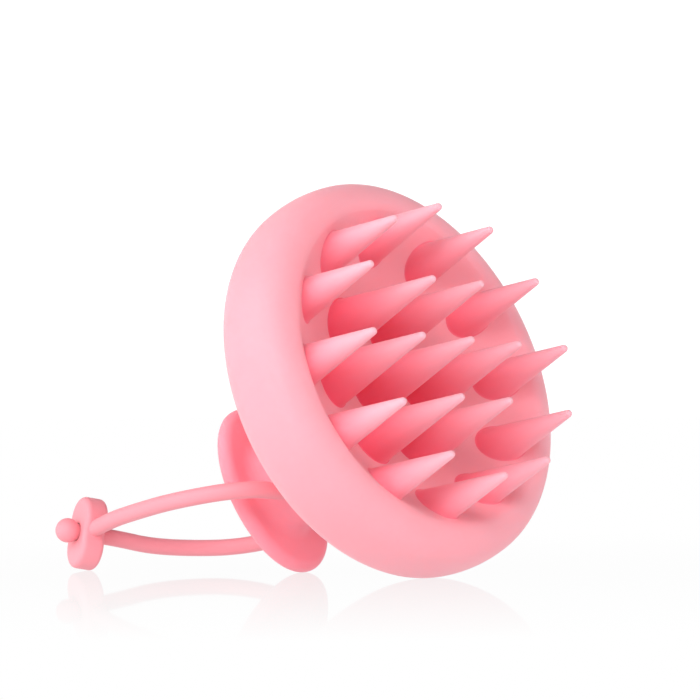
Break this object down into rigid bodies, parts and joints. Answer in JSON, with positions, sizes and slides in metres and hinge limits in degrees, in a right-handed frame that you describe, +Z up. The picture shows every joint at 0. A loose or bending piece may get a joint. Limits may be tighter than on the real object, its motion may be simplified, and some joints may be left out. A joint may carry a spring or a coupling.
{
  "type": "scalp massager brush",
  "caption": "Soft scalp massager: a round dished head with round-tipped cone bristles, an oval grip disc on a short neck, and a cord loop closed by a ball and tab.",
  "frame": {"origin": "centre of the brush's footprint on the floor, without the strap", "axes": "+Z up; +X the way the bristles face, leaning 20 degrees upwards; the brush lies on its rim and its grip disc"},
  "size_m": [0.1133, 0.0828, 0.08],
  "materials": {
    "head_skin": "satin soft-touch silicone",
    "bristles": "satin soft silicone, paler towards the tips",
    "grip_skin": "satin soft-touch silicone",
    "strap": "satin silicone cord",
    "rigid_core": "moulded polypropylene, hidden",
    "screw": "plain steel, hidden"
  },
  "bodies": {
    "brush": {"head_skin": "head_skin", "centre_bristle": "bristles", "inner_bristles": "bristles", "outer_bristles": "bristles", "head_core": "rigid_core", "core_screw": "screw", "grip_core": "rigid_core", "grip_skin": "grip_skin"},
    "strap": {"strap_cord": "strap", "keeper_tab": "strap"},
    "ball": {"ball_stud": "strap"}
  },
  "joints": [
    {"name": "strap_swing", "type": "hinge", "parent": "brush", "child": "strap", "pos_m": [-0.02073, 0.00336, 0.01904], "axis": [-0.1041, 0.9532, 0.2839], "range_deg": [0, 80]},
    {"name": "ball_pull", "type": "slide", "parent": "strap", "child": "ball", "axis": [-0.3848, -0.9065, 0.1736], "range_m": [0, 0.003]}
  ]
}
